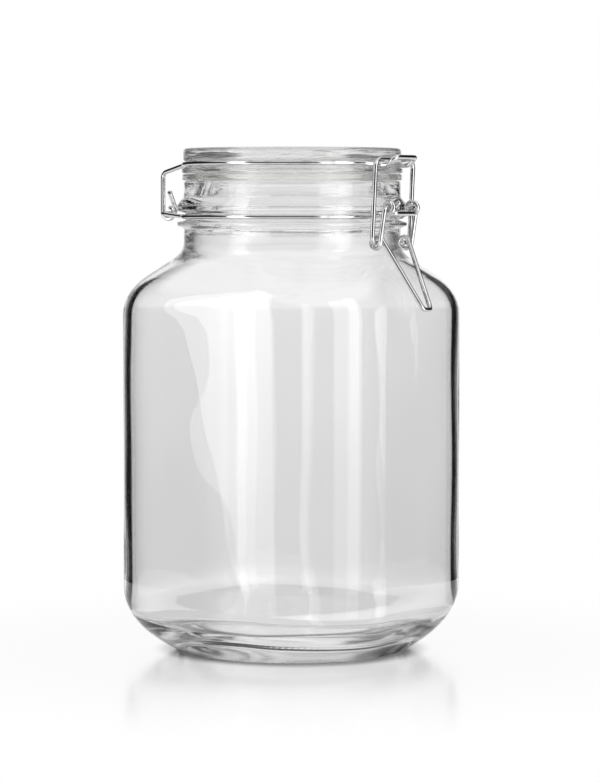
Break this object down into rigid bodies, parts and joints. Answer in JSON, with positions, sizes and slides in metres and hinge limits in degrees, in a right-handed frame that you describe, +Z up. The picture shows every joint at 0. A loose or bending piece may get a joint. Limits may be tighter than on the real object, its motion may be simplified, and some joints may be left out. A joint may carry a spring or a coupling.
{
  "type": "airtight jar",
  "caption": "Empty clear glass preserving jar with a hinged glass lid, rubber gasket and wire clamp, rounded-square body and round neck.",
  "frame": {"origin": "on the ground under the middle of the closed jar's outline; the glass body's own axis stands 2.85 mm behind it, at y = 0.00285 m", "axes": "+Z up, -Y towards the latch, +Y towards the hinge"},
  "size_m": [0.1394, 0.145, 0.2385],
  "materials": {
    "glass": "clear, smooth",
    "wire": "bright drawn wire",
    "rubber": "pale, slightly see-through"
  },
  "bodies": {
    "jar": {"jar_glass": "glass", "neck_wire": "wire"},
    "lid": {"lid_glass": "glass", "gasket": "rubber", "lid_wire": "wire"},
    "lever": {"lever": "wire"},
    "bail": {"bail": "wire"}
  },
  "joints": [
    {"name": "lid_hinge", "type": "hinge", "parent": "jar", "child": "lid", "pos_m": [0, 0.06605, 0.2076], "axis": [-1, 0, 0], "range_deg": [0, 115]},
    {"name": "lever_pivot", "type": "hinge", "parent": "jar", "child": "lever", "pos_m": [0, -0.05705, 0.2104], "axis": [-1, 0, 0], "range_deg": [0, 75]},
    {"name": "bail_pivot", "type": "hinge", "parent": "lever", "child": "bail", "pos_m": [0, -0.05185, 0.1941], "axis": [-1, 0, 0], "range_deg": [-127, 0]}
  ],
  "couplings": [
    {"joint": "lever_pivot", "follows": "lid_hinge", "ratio": 0.65},
    {"joint": "bail_pivot", "follows": "lid_hinge", "ratio": -1.1}
  ]
}
